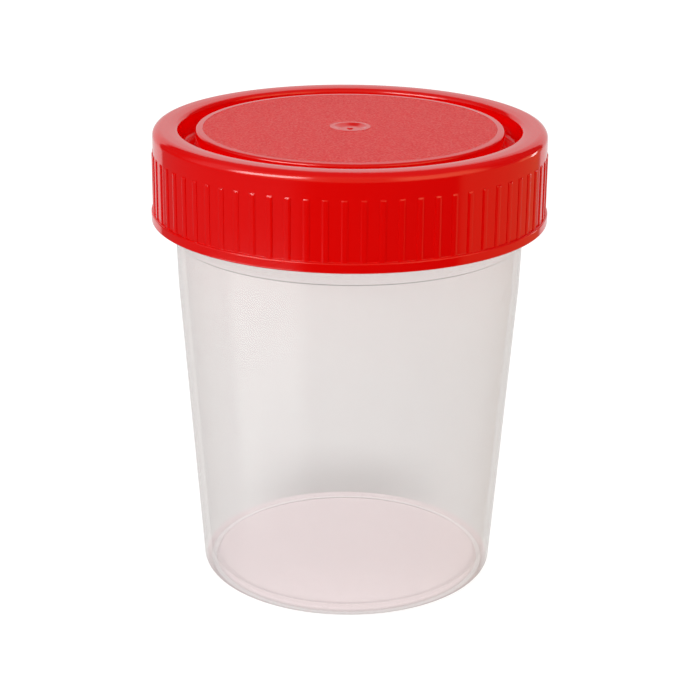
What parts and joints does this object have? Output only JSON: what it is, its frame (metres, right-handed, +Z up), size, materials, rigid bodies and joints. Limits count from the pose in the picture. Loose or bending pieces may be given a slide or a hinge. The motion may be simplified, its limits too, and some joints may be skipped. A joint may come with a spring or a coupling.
{
  "type": "urine cup",
  "caption": "Tapered translucent specimen cup with a screw neck, a soft sealing ring and a ribbed red screw lid with a plug wall.",
  "frame": {"origin": "centre of the foot that the cup stands on, on the axis of the cup and lid", "axes": "+Z up along the axis of the cup, thread and lid; X and Y lie in the plane that the cup stands on"},
  "size_m": [0.062, 0.062, 0.0731],
  "materials": {
    "clear_polypropylene": "translucent, smooth moulded",
    "red_lid_plastic": "glossy moulded, with a finely grained disc on top",
    "seal_rubber": "soft matte"
  },
  "bodies": {
    "cup": {"cup": "clear_polypropylene"},
    "sealing_ring": {"sealing_ring": "seal_rubber"},
    "screw_lid": {"screw_lid": "red_lid_plastic"}
  },
  "joints": [
    {"name": "lid_rise", "type": "slide", "parent": "cup", "child": "sealing_ring", "axis": [0, 0, 1], "range_m": [0, 0.016]},
    {"name": "lid_turn", "type": "hinge", "parent": "sealing_ring", "child": "screw_lid", "pos_m": [0, 0, 0.0655], "axis": [0, 0, 1], "range_deg": [0, 1440]}
  ],
  "couplings": [
    {"joint": "lid_rise", "follows": "lid_turn", "m_per_rad": 0.0006366}
  ]
}
